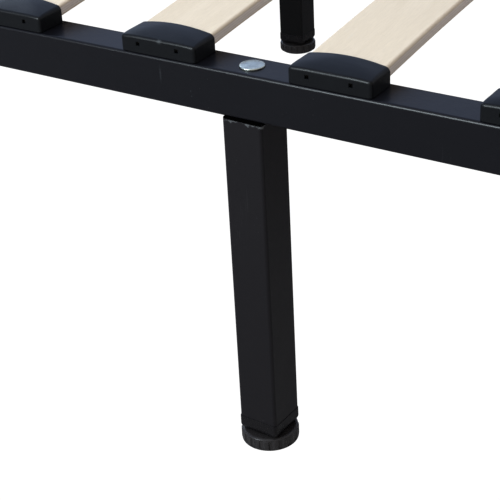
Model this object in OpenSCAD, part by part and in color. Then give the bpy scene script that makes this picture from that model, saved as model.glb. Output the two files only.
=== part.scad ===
// Metal bed frame: a black steel frame of rectangular tube on square legs, with two rows of
// sprung wooden slats held in plastic caps, a centre beam and screw-in levelling feet.
// Millimetres, +Z up. X runs along the bed from its head (-X) to its foot (+X), Y across it.
// The origin is on the floor under the middle of the frame.

/* [Frame] */
// Length over the end plugs of the side rails
bed_l = 1900; // [1880:10:2000]
// Width over the side rails
bed_w = 1340; // [1200:10:1500]
// Height of the rail tubes
rail_h = 31; // [30:0.5:36]
// Width of the rail tubes
rail_w = 28.5; // [26:0.5:30]
// Outer radius of the tubes' corners
tube_r = 2.25; // [2:0.25:3]
// Wall thickness of all the tubes
wall = 1.5; // [1.2:0.1:1.8]

/* [Legs] */
// Height of the rails' underside above the floor
under_rail = 253; // [180:1:350]
// Outer side of the square leg tubes
leg_side = 30; // [29:0.5:32]
// Distance from the middle leg of a side rail to its end legs, in slat pitches
end_leg_pitches = 6; // [4:1:6]
// How far each leg of the centre beam stands inwards of the middle between two slats
beam_leg_shift = 6; // [0:1:8]
// Turn of the left middle leg about its bolt, as a leg on one bolt seldom stands quite square
left_mid_turn = -2; // [-5:1:5]

/* [Slats] */
// Number of slats in each row
slat_count = 14; // [12:2:14]
// Distance between the middles of neighbouring slats
slat_pitch = 125; // [110:1:126]
// Width of a slat
slat_w = 53; // [50:0.5:53]
// Thickness of a slat
slat_t = 8.75; // [7.5:0.25:8.75]
// Height of a slat's arch over its ends
slat_rise = 18; // [8:1:18]
// Width of a slat cap
cap_w = 57.5; // [55:0.5:60]
// Depth of a slat cap along the slat
cap_d = 23.25; // [22:0.25:25]
// Height of a slat cap at the middle of its mouth
cap_h = 14.5; // [14.5:0.25:16]
// Drop of the cap's crown from its middle to its sides
cap_crown = 3.1; // [2:0.1:3.1]
// Drop of the cap's top from its mouth to its outer face
cap_fall = 3.4; // [3:0.2:4.4]

/* [Levelling feet] */
// Diameter of a foot over its ribs
foot_d = 41; // [38:1:50]
// Thickness of a foot
foot_t = 10.75; // [9.75:0.25:12]
// Number of ribs round a foot
foot_ribs = 18; // [16:1:32]
// How far a foot can be screwed out
foot_travel = 12.5; // [5:1.25:15]

/* [Hidden] */
$fn = 48;
eps = 0.01;
bolt_r = 4;               // M8 throughout
thread_gap = 0.05;        // radial clearance of a shaft in its thread
bolt_hole_r = 4.5;
head_d = 16.5;
head_h = 2.3;
nut_af = 13;
nut_h = 6.5;
rail_top = under_rail + rail_h;
plug_flange = 3;
plug_l = 12;
rail_l = bed_l - 2 * plug_flange;
rail_y = bed_w / 2 - rail_w / 2;
end_rail_x = rail_l / 2 - rail_w / 2;
end_rail_in = rail_l / 2 - rail_w;

plate_t = 3;              // steel plate of the brackets
plate_h = 26;
bracket_l = 45;
gusset_l = 30;
bracket_bolt_x = [end_rail_in - 14, end_rail_in - 33];
hanger_l = 35;
hanger_gap = 0.3;
hanger_side = rail_w / 2 + hanger_gap + plate_t;
beam_l = 2 * (end_rail_in - 2);
beam_bolt_x = end_rail_in - 20;

leg_gap = 1.3;            // shadow gap between the leg tube and the rail
leg_top = under_rail - leg_gap;
leg_plate_t = 4;
seam_w = wall - 0.3;       // weld seams of the top plate
seam_h = leg_gap - 0.1;
leg_in = leg_side - 2 * wall;
leg_bolt_l = rail_h + leg_plate_t + nut_h + 2;

collar_t = 2.5;           // hexagon on a foot's stud
foot_well = 1.75;         // depth of the well in a foot's top, round the hexagon
foot_well_d = 18;
insert_z = foot_t - foot_well + collar_t;
insert_collar_h = 10.5;
insert_proud = 0.35;
insert_taper = 1.4;
insert_taper_h = 3;
insert_plug_h = 15;
insert_slack = 0.1;
insert_boss_d = 16;
leg_bottom = insert_z + insert_collar_h;
stud_head_d = 16;
stud_head_t = 2.5;
stud_head_z = 1.5;
thread_grip = 11;         // thread still held by the insert when a foot is screwed right out
stud_top = insert_z + thread_grip + foot_travel;
foot_pocket_d = 19;
rib_h = 0.5;
foot_rim_drop = 0.75;     // height of the slope round the edge of a foot's top
foot_rim_w = 1.5;         // width of that slope
foot_lip_t = 1.2;         // base of a foot, almost as wide as its ribs

cap_base = 0.8;           // plastic under a slat's end
cap_inset = 0.75;         // from the rail's outer face to the cap
cap_wall = 3.75;
pocket_gap = 0.15;
slat_end_gap = 0.25;
edge_r = 2;               // rounding of a slat's edges
holder_d = 2 * cap_d;
holder_web = 6;
peg_r = 3;
peg_hole_r = 3.25;
peg_l = 5;
peg_x = 14;
cap_hole = 2.5;
cap_hole_x = [-15.3, 14.6];
cap_hole_z = 6.2;

slat_y_out = bed_w / 2 - cap_inset - cap_wall - slat_end_gap;
slat_y_in = holder_web / 2 + slat_end_gap;
slat_y = (slat_y_out + slat_y_in) / 2;
slat_half = (slat_y_out - slat_y_in) / 2;
slat_r = (slat_half * slat_half + slat_rise * slat_rise) / (2 * slat_rise);
slat_angle = asin(slat_half / slat_r);
slat_end_z = rail_top + cap_base;

function slat_x(i) = (i - (slat_count + 1) / 2) * slat_pitch;
side_leg_x = [for (s = [-1:1]) s * end_leg_pitches * slat_pitch];
beam_leg_x = [for (s = [-1, 1]) s * (3 * slat_pitch - beam_leg_shift)];

// Every leg: its name, its place and its turn
LEGS = [
    ["left_head", [side_leg_x[0], -rail_y], 0],
    ["left_mid", [side_leg_x[1], -rail_y], left_mid_turn],
    ["left_foot", [side_leg_x[2], -rail_y], 0],
    ["right_head", [side_leg_x[0], rail_y], 0],
    ["right_mid", [side_leg_x[1], rail_y], 0],
    ["right_foot", [side_leg_x[2], rail_y], 0],
    ["centre_head", [beam_leg_x[0], 0], 0],
    ["centre_foot", [beam_leg_x[1], 0], 0]
];
SIDES = [["left", -1], ["right", 1]];

function two(i) = i < 10 ? str("0", i) : str(i);

// ---------- shared shapes ----------

module rounded_rect(w, h, r) {
    square([w - 2 * r, h], center = true);
    square([w, h - 2 * r], center = true);
    for (x = [-1, 1], y = [-1, 1])
        translate([x * (w / 2 - r), y * (h / 2 - r)]) circle(r = r);
}

// A rectangular tube along Z
module tube(w, h, length) {
    linear_extrude(length) difference() {
        rounded_rect(w, h, tube_r);
        rounded_rect(w - 2 * wall, h - 2 * wall, tube_r - wall);
    }
}

// A rail tube along X, centred, standing on z = 0
module rail_tube(length) {
    translate([-length / 2, 0, rail_h / 2]) rotate([90, 0, 90]) tube(rail_w, rail_h, length);
}

// Holes for the pegs of the slat caps
module peg_holes(y) {
    for (i = [1:slat_count], s = [-1, 1])
        translate([slat_x(i) + s * peg_x, y, rail_h - wall - 1])
            cylinder(r = peg_hole_r, h = wall + 2);
}

module leg_bolt_holes(xs) {
    for (x = xs) translate([x, 0, -1]) cylinder(r = bolt_hole_r, h = rail_h + 2);
}

// Holes across a rail tube, at the same places near both of its ends
module cross_bolt_holes(xs) {
    for (x = xs, s = [-1, 1])
        translate([s * x, 0, rail_h / 2]) rotate([90, 0, 0])
            cylinder(r = bolt_hole_r, h = rail_w + 2, center = true);
}

// A low domed bolt head standing on z = 0
module bolt_head() {
    dome_h = head_h - 0.7;
    dome_r = (head_d * head_d / 4 + dome_h * dome_h) / (2 * dome_h);
    intersection() {
        cylinder(d = head_d, h = head_h);
        translate([0, 0, head_h - dome_r]) sphere(r = dome_r, $fn = 128);
    }
}

// A bolt with its head on z = 0 and its shank below it
module bolt(length) {
    bolt_head();
    translate([0, 0, -length]) cylinder(r = bolt_r, h = length + eps);
}

module hexagon(across_flats, h) {
    cylinder(d = across_flats / cos(30), h = h, $fn = 6);
}

// ---------- steel frame ----------

// A side rail with its peg, leg and corner holes; side is -1 on the left and 1 on the right
module side_rail(side) {
    color("#202226") translate([0, side * rail_y, under_rail]) difference() {
        rail_tube(rail_l);
        peg_holes(side * (rail_w / 2 - cap_inset - cap_d / 2));
        leg_bolt_holes(side_leg_x);
        cross_bolt_holes(bracket_bolt_x);
    }
}

// Plate, gusset and bolt holes of one corner; x and y are measured from the corner inwards
module corner_bracket() {
    plate_l = rail_w + bracket_l;
    difference() {
        translate([0, 0, (rail_h - plate_h) / 2]) cube([plate_l, plate_t, plate_h]);
        for (x = bracket_bolt_x)
            translate([rail_l / 2 - x, plate_t / 2, rail_h / 2]) rotate([90, 0, 0])
                cylinder(r = bolt_hole_r, h = plate_t + 2, center = true);
    }
    translate([rail_w - eps, plate_t - eps, rail_h - 8])
        linear_extrude(plate_t) polygon([[0, 0], [gusset_l, 0], [0, gusset_l]]);
}

// The open cradle that carries an end of the centre beam; x runs inwards from the rail
module beam_hanger() {
    inner_w = rail_w + 2 * hanger_gap;
    difference() {
        translate([-eps, -inner_w / 2 - plate_t, -plate_t])
            cube([hanger_l, inner_w + 2 * plate_t, plate_t + rail_h - 6]);
        translate([-1, -inner_w / 2, 0]) cube([hanger_l + 2, inner_w, rail_h]);
        translate([end_rail_in - beam_bolt_x, 0, rail_h / 2]) rotate([90, 0, 0])
            cylinder(r = bolt_hole_r, h = inner_w + 4 * plate_t, center = true);
    }
}

// The rail across the foot of the bed, with its welded brackets and cradle
module cross_rail() {
    inner_y = bed_w / 2 - rail_w;
    color("#202226") translate([0, 0, under_rail]) {
        translate([end_rail_x, 0, 0]) rotate([0, 0, 90])
            rail_tube(2 * (inner_y - plate_t + eps));
        for (s = [0, 1]) mirror([0, s, 0])
            translate([rail_l / 2, inner_y, 0]) rotate([0, 0, 180]) corner_bracket();
        translate([end_rail_in, 0, 0]) mirror([1, 0, 0]) beam_hanger();
    }
}

module foot_rail() { cross_rail(); }

module head_rail() { mirror([1, 0, 0]) cross_rail(); }

module centre_beam() {
    color("#202226") translate([0, 0, under_rail]) difference() {
        rail_tube(beam_l);
        peg_holes(0);
        leg_bolt_holes(beam_leg_x);
        cross_bolt_holes([beam_bolt_x]);
    }
}

// Carriage bolts of the corners and of the centre beam's ends
module frame_bolts() {
    color("#9aa3ad") {
        for (side = [-1, 1], s = [-1, 1], x = bracket_bolt_x)
            translate([s * x, side * bed_w / 2, under_rail + rail_h / 2])
                rotate([-side * 90, 0, 0]) bolt(rail_w + plate_t + nut_h + 2);
        for (s = [-1, 1])
            translate([s * beam_bolt_x, -hanger_side, under_rail + rail_h / 2])
                rotate([90, 0, 0]) bolt(2 * hanger_side + nut_h + 2);
    }
}

module nut() {
    difference() {
        hexagon(nut_af, nut_h);
        translate([0, 0, -1]) cylinder(r = bolt_r + thread_gap, h = nut_h + 2);
    }
}

module frame_nuts() {
    color("#9aa3ad") {
        for (side = [-1, 1], s = [-1, 1], x = bracket_bolt_x)
            translate([s * x, side * (bed_w / 2 - rail_w - plate_t), under_rail + rail_h / 2])
                rotate([side * 90, 0, 0]) nut();
        for (s = [-1, 1])
            translate([s * beam_bolt_x, hanger_side, under_rail + rail_h / 2])
                rotate([-90, 0, 0]) nut();
    }
}

// Plastic plugs that close the ends of the side rails
module rail_end_plugs() {
    color("#1a1b1e") for (side = [-1, 1], s = [-1, 1])
        translate([s * rail_l / 2, side * rail_y, under_rail + rail_h / 2])
            rotate([90, 0, s * 90]) {
                linear_extrude(plug_flange) rounded_rect(rail_w, rail_h, tube_r);
                translate([0, 0, -plug_l]) linear_extrude(plug_l + eps)
                    rounded_rect(rail_w - 2 * wall - 0.2, rail_h - 2 * wall - 0.2, tube_r - wall);
            }
}

// ---------- slats and their holders ----------

// The arched slat in slot i of one row
module slat(side, i) {
    color("#e2dbcf")
        translate([slat_x(i), side * slat_y, slat_end_z + slat_t + slat_rise - slat_r])
            rotate([90, 0, 90]) rotate([0, 0, 90 - slat_angle])
                rotate_extrude(angle = 2 * slat_angle, $fn = 216)
                    translate([slat_r - slat_t / 2, 0]) rounded_rect(slat_t, slat_w, edge_r);
}

// Outer form of a cap, from its outer face at y = 0 to its mouth at y = depth
module cap_form(depth, falls) {
    crown_r = (cap_w * cap_w / 4 + cap_crown * cap_crown) / (2 * cap_crown);
    fall_r = (depth * depth + cap_fall * cap_fall) / (2 * cap_fall);
    intersection() {
        translate([0, depth / 2, 0]) linear_extrude(cap_h) rounded_rect(cap_w, depth, 2.25);
        translate([0, depth + 1, 0]) rotate([90, 0, 0]) linear_extrude(depth + 2)
            intersection() {
                translate([-cap_w, 0]) square([2 * cap_w, cap_h]);
                translate([0, cap_h - crown_r]) circle(r = crown_r, $fn = 256);
            }
        if (falls)
            translate([-cap_w / 2 - 1, 0, 0]) rotate([90, 0, 90]) linear_extrude(cap_w + 2)
                intersection() {
                    translate([-1, 0]) square([depth + 2, cap_h + 1]);
                    translate([depth, cap_h - fall_r]) circle(r = fall_r, $fn = 256);
                }
    }
}

// The slot that a slat's end sits in, sloping up with the arch from its closed end at y = 0
module slat_pocket() {
    rotate([slat_angle, 0, 0]) translate([0, -slat_end_gap, slat_t / 2])
        rotate([90, 0, 0]) mirror([0, 0, 1]) linear_extrude(cap_d + 5)
            rounded_rect(slat_w + 2 * pocket_gap, slat_t + 2 * pocket_gap, edge_r + pocket_gap);
}

module pegs(y) {
    for (s = [-1, 1]) translate([s * peg_x, y, -peg_l]) cylinder(r = peg_r, h = peg_l + eps);
}

module slat_cap() {
    difference() {
        cap_form(cap_d, true);
        translate([0, cap_wall + slat_end_gap, cap_base]) slat_pocket();
        for (x = cap_hole_x)
            translate([x - cap_hole / 2, -1, cap_hole_z - cap_hole / 2])
                cube([cap_hole, cap_wall + 2, cap_hole]);
    }
    pegs(cap_d / 2);
}

module slat_caps() {
    color("#26292f") for (side = [-1, 1], i = [1:slat_count])
        translate([slat_x(i), side * (bed_w / 2 - cap_inset), rail_top])
            rotate([0, 0, side > 0 ? 180 : 0]) slat_cap();
}

// The double holder on the centre beam, open on both sides
module slat_holder() {
    difference() {
        translate([0, -holder_d / 2, 0]) cap_form(holder_d, false);
        for (s = [0, 1]) mirror([0, s, 0])
            translate([0, slat_y_in, cap_base]) slat_pocket();
    }
    pegs(0);
}

module centre_slat_holders() {
    color("#26292f") for (i = [1:slat_count]) translate([slat_x(i), 0, rail_top]) slat_holder();
}

// ---------- legs and levelling feet ----------

// A leg tube with its top plate, welded in along two sides, and its nut
module leg(place, turn) {
    translate([place[0], place[1], 0]) rotate([0, 0, turn]) difference() {
        union() {
            translate([0, 0, leg_bottom]) tube(leg_side, leg_side, leg_top - leg_bottom);
            translate([0, 0, under_rail - leg_plate_t])
                linear_extrude(leg_plate_t) rounded_rect(leg_in, leg_in, tube_r - wall);
            for (s = [-1, 1])
                translate([s * (leg_in / 2 + seam_w / 2 - 0.1), 0, leg_top + seam_h / 2 - 0.1])
                    cube([seam_w, leg_side - 1.2, seam_h], center = true);
            translate([0, 0, under_rail - leg_plate_t - nut_h]) hexagon(nut_af, nut_h + eps);
        }
        translate([0, 0, under_rail - leg_plate_t - nut_h - 1])
            cylinder(r = bolt_r + thread_gap, h = leg_plate_t + nut_h + 2);
    }
}

module leg_group(first, last) {
    color("#1f1f22") for (i = [first:last]) leg(LEGS[i][1], LEGS[i][2]);
}

module legs_left() { leg_group(0, 2); }

module legs_right() { leg_group(3, 5); }

module legs_centre() { leg_group(6, 7); }

// The bolts that hold the legs, put in from the top of the rails
module leg_bolts() {
    color("#b4bec8") for (l = LEGS)
        translate([l[1][0], l[1][1], rail_top]) bolt(leg_bolt_l);
}

// The plastic insert in the bottom of a leg, with the thread for its foot
module leg_insert() {
    collar = leg_side + 2 * insert_proud;
    plug = leg_in - 2 * insert_slack;
    difference() {
        union() {
            intersection() {
                translate([0, 0, insert_z]) linear_extrude(insert_collar_h)
                    rounded_rect(collar, collar, tube_r);
                rotate([90, 0, 0]) linear_extrude(collar + 2, center = true) taper(collar);
                rotate([90, 0, 90]) linear_extrude(collar + 2, center = true) taper(collar);
            }
            translate([0, 0, leg_bottom - eps]) difference() {
                linear_extrude(insert_plug_h) rounded_rect(plug, plug, tube_r - wall);
                translate([0, 0, 2]) linear_extrude(insert_plug_h)
                    rounded_rect(plug - 5, plug - 5, 1);
            }
            translate([0, 0, leg_bottom]) cylinder(d = insert_boss_d, h = insert_plug_h);
        }
        translate([0, 0, insert_z - 1])
            cylinder(r = bolt_r + thread_gap, h = insert_collar_h + insert_plug_h + 2);
    }
}

// Side view of the insert's collar, drawn in towards its underside
module taper(width) {
    polygon([
        [-width / 2 + insert_taper, insert_z], [width / 2 - insert_taper, insert_z],
        [width / 2, insert_z + insert_taper_h], [width / 2, leg_bottom],
        [-width / 2, leg_bottom], [-width / 2, insert_z + insert_taper_h]
    ]);
}

module leg_inserts() {
    color("#1b1b1d") for (l = LEGS)
        translate([l[1][0], l[1][1], 0]) rotate([0, 0, l[2]]) leg_insert();
}

// A levelling foot's bolt: its head sits inside the foot and its hexagon in the well on top
module foot_stud(place) {
    color("#8f969e") translate([place[0], place[1], 0]) {
        translate([0, 0, stud_head_z]) cylinder(d = stud_head_d, h = stud_head_t);
        translate([0, 0, stud_head_z + eps]) cylinder(r = bolt_r, h = stud_top - stud_head_z);
        translate([0, 0, foot_t - foot_well]) hexagon(nut_af, collar_t);
    }
}

// Outline of the foot with one flat-topped rib in each step
function rib_points() = [
    for (i = [0:foot_ribs - 1]) let (step = 360 / foot_ribs)
        for (p = [[0, -rib_h], [0.35, -rib_h], [0.5, 0], [0.85, 0]])
            (foot_d / 2 + p[1]) * [cos((i + p[0]) * step), sin((i + p[0]) * step)]
];

module foot_disc(place) {
    rim_z = foot_t - foot_rim_drop;
    body_d = foot_d - 2 * rib_h;
    color("#1b1a1a") translate([place[0], place[1], 0]) difference() {
        union() {
            cylinder(d = body_d, h = rim_z);
            translate([0, 0, rim_z])
                cylinder(d1 = body_d, d2 = body_d - 2 * foot_rim_w, h = foot_rim_drop);
            translate([0, 0, foot_lip_t / 2]) linear_extrude(rim_z - foot_lip_t / 2 - 0.75)
                polygon(rib_points());
            cylinder(d = foot_d - 0.3, h = foot_lip_t);
        }
        translate([0, 0, foot_t - foot_well]) cylinder(d = foot_well_d, h = foot_well + 1);
        translate([0, 0, -1]) cylinder(d = foot_pocket_d, h = 1 + stud_head_z + stud_head_t);
        translate([0, 0, 1]) cylinder(r = bolt_r + thread_gap, h = foot_t);
    }
}

// ---------- the assembly ----------

side_rail(-1);  // side_rail_left
side_rail(1);  // side_rail_right
head_rail();
foot_rail();
centre_beam();
frame_bolts();
frame_nuts();
rail_end_plugs();
slat_caps();
centre_slat_holders();
legs_left();
legs_right();
legs_centre();
leg_bolts();
leg_inserts();
for (l = LEGS) {
    foot_stud(l[1]);
    foot_disc(l[1]);
}
for (side = SIDES, i = [1:slat_count])
    slat(side[1], i);
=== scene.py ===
import math

import bpy
from mathutils import Matrix, Vector


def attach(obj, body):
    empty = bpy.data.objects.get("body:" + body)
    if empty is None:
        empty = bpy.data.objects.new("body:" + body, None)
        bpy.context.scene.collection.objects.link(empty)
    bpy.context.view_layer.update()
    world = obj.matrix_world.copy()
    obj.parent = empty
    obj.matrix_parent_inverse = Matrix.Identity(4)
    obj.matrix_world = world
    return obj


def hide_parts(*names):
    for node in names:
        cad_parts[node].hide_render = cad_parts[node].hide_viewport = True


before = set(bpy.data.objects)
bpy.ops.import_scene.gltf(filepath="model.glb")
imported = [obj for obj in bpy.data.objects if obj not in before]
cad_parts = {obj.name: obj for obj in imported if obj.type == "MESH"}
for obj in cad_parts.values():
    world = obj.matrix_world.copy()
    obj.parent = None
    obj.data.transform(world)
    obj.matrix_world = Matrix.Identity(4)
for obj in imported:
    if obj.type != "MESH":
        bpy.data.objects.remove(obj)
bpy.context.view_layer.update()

# ---------- sizes, in millimetres, as in part.scad ----------

RAIL_L, RAIL_W, RAIL_H, TUBE_R, WALL = 1894.0, 28.5, 31.0, 2.25, 1.5
BED_W = 1340.0
UNDER = 253.0
TOP, MID_Z = UNDER + RAIL_H, UNDER + RAIL_H / 2
RAIL_Y = (BED_W - RAIL_W) / 2
END_X, END_IN = (RAIL_L - RAIL_W) / 2, RAIL_L / 2 - RAIL_W
PLATE_T, PLATE_H, BRACKET_L, GUSSET_L = 3.0, 26.0, 45.0, 30.0
BRACKET_BOLTS = (END_IN - 14, END_IN - 33)
HANGER_L, HANGER_IN = 35.0, RAIL_W / 2 + 0.3
HANGER_OUT, BEAM_BOLT_X = HANGER_IN + PLATE_T, END_IN - 20
BEAM_L = 2 * (END_IN - 2)
PITCH, SLATS = 125.0, 14
SLAT_W, SLAT_T, SLAT_RISE, PLY_T = 53.0, 8.75, 18.0, 1.7
CAP_W, CAP_D, CAP_H, CROWN, FALL, CAP_WALL = 57.5, 23.25, 14.5, 3.1, 3.4, 3.75
CAP_BASE, CAP_INSET, POCKET_GAP, END_GAP = 0.8, 0.75, 0.15, 0.25
PEG_X, PEG_R, PEG_L = 14.0, 3.0, 5.0
HOLE_X, HOLE_Z, HOLE = (-15.3, 14.6), 6.2, 2.5
LEG, LEG_TOP, LEG_BOTTOM, TOP_PLATE_T = 30.0, 251.7, 22.0, 4.0
INSERT_Z, COLLAR, HEX_T = 11.5, 30.7, 2.5
END_LEG_X, BEAM_LEG_X = 750.0, 369.0
BOLT_R, NUT_AF, NUT_H = 4.0, 13.0, 6.5
THREAD = 1.25
FOOT_R, FOOT_T, RIM_Z, RIBS, RIB_H = 20.5, 10.75, 10.0, 18, 0.5
WELL_Z, WELL_R, LIP_T, GROOVE = 9.0, 9.0, 1.2, 0.45
STUD_TOP = 35.0
BORE, HOLE_R = BOLT_R + 0.05, BOLT_R + 0.5  # of a threaded part, and of a bolt's clearance hole

LEGS = {
    "left_head": (-END_LEG_X, -RAIL_Y, 0.0),
    "left_mid": (0.0, -RAIL_Y, -2.0),
    "left_foot": (END_LEG_X, -RAIL_Y, 0.0),
    "right_head": (-END_LEG_X, RAIL_Y, 0.0),
    "right_mid": (0.0, RAIL_Y, 0.0),
    "right_foot": (END_LEG_X, RAIL_Y, 0.0),
    "centre_head": (-BEAM_LEG_X, 0.0, 0.0),
    "centre_foot": (BEAM_LEG_X, 0.0, 0.0),
}
SIDES = ((-1, "left"), (1, "right"))
CORNERS = [(side, s) for side in (-1, 1) for s in (-1, 1)]
SLAT_X = [(i - (SLATS + 1) / 2) * PITCH for i in range(1, SLATS + 1)]
SLAT_OUT = BED_W / 2 - CAP_INSET - CAP_WALL - END_GAP
SLAT_IN = 3.0 + END_GAP
SLAT_Y = (SLAT_OUT + SLAT_IN) / 2
SLAT_HALF = (SLAT_OUT - SLAT_IN) / 2
SLAT_R = (SLAT_HALF**2 + SLAT_RISE**2) / (2 * SLAT_RISE)
SLAT_A = math.asin(SLAT_HALF / SLAT_R)
SLAT_DROP = 0.06  # keeps the smooth arc within the CAD's faceted one

# ---------- mesh code ----------


class Shape:
    """Vertices in millimetres, faces, and each face's material number."""

    def __init__(self):
        self.v, self.f, self.m = [], [], []

    def add(self, verts, faces):
        n = len(self.v)
        self.v += [tuple(p) for p in verts]
        self.f += [tuple(i + n for i in face) for face in faces]
        self.m += [0] * len(faces)
        return self

    def put(self, other, matrix=Matrix.Identity(4)):
        """Adds another shape, moved by a matrix."""
        n = len(self.v)
        self.v += [tuple(matrix @ Vector(p)) for p in other.v]
        flip = matrix.determinant() < 0
        for face in other.f:
            face = tuple(i + n for i in face)
            self.f.append(face[::-1] if flip else face)
        self.m += other.m
        return self

    def loft(self, loops, ring=False):
        """Faces between loops of equal length; the last joins the first, or both are closed."""
        n, rows = len(loops[0]), len(loops)
        verts = [p for loop in loops for p in loop]
        faces = []
        for a in range(rows if ring else rows - 1):
            b = (a + 1) % rows
            for i in range(n):
                j = (i + 1) % n
                faces.append((a * n + i, a * n + j, b * n + j, b * n + i))
        if not ring:
            faces.append(tuple(range(n))[::-1])
            faces.append(tuple(range((rows - 1) * n, rows * n)))
        return self.add(verts, faces)


def move(x=0.0, y=0.0, z=0.0):
    return Matrix.Translation((x, y, z))


def turn(degrees, axis):
    return Matrix.Rotation(math.radians(degrees), 4, axis)


MIRROR_X = Matrix.Diagonal((-1, 1, 1, 1))


def arc(cx, cy, r, a0, a1, n):
    """n + 1 points of an arc, angles in degrees."""
    angles = [math.radians(a0 + (a1 - a0) * i / n) for i in range(n + 1)]
    return [(cx + r * math.cos(a), cy + r * math.sin(a)) for a in angles]


def rounded_rect(w, h, r, n=6):
    """Anticlockwise outline, n segments at each corner."""
    out = []
    for cx, cy, a in ((1, -1, -90), (1, 1, 0), (-1, 1, 90), (-1, -1, 180)):
        out += arc(cx * (w / 2 - r), cy * (h / 2 - r), r, a, a + 90, n)
    return out


def tube_shape(w, h, length, edge=0.35):
    """A rectangular tube along Z from 0 to length, its end edges slightly rounded."""
    loops = [
        [(x, y, z) for x, y in rounded_rect(w - 2 * inset, h - 2 * inset, TUBE_R - inset)]
        for inset, z in (
            (edge, 0.0),
            (edge * 0.3, edge * 0.3),
            (0.0, edge),
            (0.0, length - edge),
            (edge * 0.3, length - edge * 0.3),
            (edge, length),
            (WALL, length),
            (WALL, 0.0),
        )
    ]
    return Shape().loft(loops, ring=True)


def circle(r, z, n, phase=0.0):
    """A level loop of n points at height z; phase turns it by a part of one step."""
    angles = [2 * math.pi * (i + phase) / n for i in range(n)]
    return [(r * math.cos(a), r * math.sin(a), z) for a in angles]


def lathe(profile, n=32):
    """A turned form about Z from (radius, z) points, closed flat at both ends."""
    return Shape().loft([circle(r, z, n) for r, z in profile])


def cylinder(r, z0, z1, n=32):
    return lathe([(r, z0), (r, z1)], n)


def box(x0, x1, y0, y1, z0, z1, c):
    """A block, its upright edges and rims rounded by c."""
    mx, my = (x0 + x1) / 2, (y0 + y1) / 2
    loops = [
        [(mx + x, my + y, z) for x, y in rounded_rect(x1 - x0 - 2 * i, y1 - y0 - 2 * i, c, 3)]
        for i, z in ((c * 0.7, z0), (0, z0 + c * 0.7), (0, z1 - c * 0.7), (c * 0.7, z1))
    ]
    return Shape().loft(loops)


def threaded_rod(r, z0, z1, n=20, steps=6, depth=0.62):
    """A rod from z0 up to z1 with a helical thread, tapered at its far end."""
    rows = max(2, round((z1 - z0) / THREAD * steps))
    loops = []
    for k in range(rows + 1):
        z = z0 + (z1 - z0) * k / rows
        lead = min(1.0, (z1 - z) / 1.1, (z - z0) / 1.1 + 0.05)
        loop = []
        for i in range(n):
            phase = (z / THREAD - i / n) % 1.0
            cut = depth * abs(2 * phase - 1)
            rr = min(r - cut, r - depth + depth * lead) if z1 - z < 1.1 else r - cut * lead
            a = 2 * math.pi * i / n
            loop.append((rr * math.cos(a), rr * math.sin(a), z))
        loops.append(loop)
    return Shape().loft(loops)


def bolt_shape(length, thread=14.0):
    """A domed bolt: head on z = 0, shank below."""
    s = lathe(
        [
            (BOLT_R, -0.01), (7.9, 0.0), (8.17, 0.12), (8.25, 0.35), (8.22, 0.66), (8.05, 0.98),
            (7.7, 1.22), (7.2, 1.38), (6.75, 1.46), (6.3, 1.55), (5.6, 1.74), (4.6, 1.96),
            (3.4, 2.14), (2.1, 2.25), (0.9, 2.29), (0.25, 2.3),
        ],
        40,
    )
    s.put(cylinder(BOLT_R - 0.05, -length + thread - 0.6, 0.3, 24))
    s.put(threaded_rod(BOLT_R, 0.0, thread), turn(180, "X") @ move(z=length - thread))
    return s


def hex_shape(af, h, bore=None, n=48):
    """A hexagon with its chamfered rims, from z = 0 to h; with a bore it is a nut."""
    def radius(a):
        return af / 2 / math.cos((a + math.pi / 6) % (math.pi / 3) - math.pi / 6)

    rc = af / 2 * 0.97
    angles = [2 * math.pi * i / n for i in range(n)]

    def loop(rf, zf):
        return [(rf(a) * math.cos(a), rf(a) * math.sin(a), zf(a)) for a in angles]

    def drop(a):
        return max(0.0, radius(a) - rc) * math.tan(math.radians(30))

    loops = [
        loop(lambda a: rc, lambda a: 0.0),
        loop(radius, drop),
        loop(radius, lambda a: h - drop(a)),
        loop(lambda a: rc, lambda a: h),
    ]
    if bore is None:
        return Shape().loft(loops)
    loops += [
        loop(lambda a: bore + 0.45, lambda a: h),
        loop(lambda a: bore, lambda a: h - 0.45),
        loop(lambda a: bore, lambda a: 0.45),
        loop(lambda a: bore + 0.45, lambda a: 0.0),
    ]
    return Shape().loft(loops, ring=True)


def weld_bead(path, r=1.15, ripple=0.22, pitch=1.7):
    """A rippled bead along a path of two points, its ends drawn to nothing."""
    a, b = Vector(path[0]), Vector(path[1])
    d = b - a
    length = d.length
    d.normalize()
    side = d.cross(Vector((0.37, 0.61, 0.7))).normalized()
    up = d.cross(side)
    rows = max(10, int(length / pitch * 5))
    loops = []
    for k in range(rows + 1):
        t = length * k / rows
        wave = math.sin(math.pi * t / pitch)
        rr = r + ripple * (abs(wave) - 0.5) + 0.12 * math.sin(t * 0.83 + a.x)
        end = min(1.0, t / 1.6, (length - t) / 1.6)
        rr *= math.sqrt(max(0.02, end * (2 - end)))
        c = a + d * (t - 0.2 * wave**2)
        loops.append([tuple(c + side * u + up * v) for u, v, _ in circle(rr, 0.0, 10)])
    return Shape().loft(loops)


def mesh_of(shape, name):
    mesh = bpy.data.meshes.new(name)
    mesh.from_pydata([tuple(c * 0.001 for c in p) for p in shape.v], [], shape.f)
    mesh.polygons.foreach_set("material_index", shape.m)
    mesh.update()
    return mesh


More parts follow.
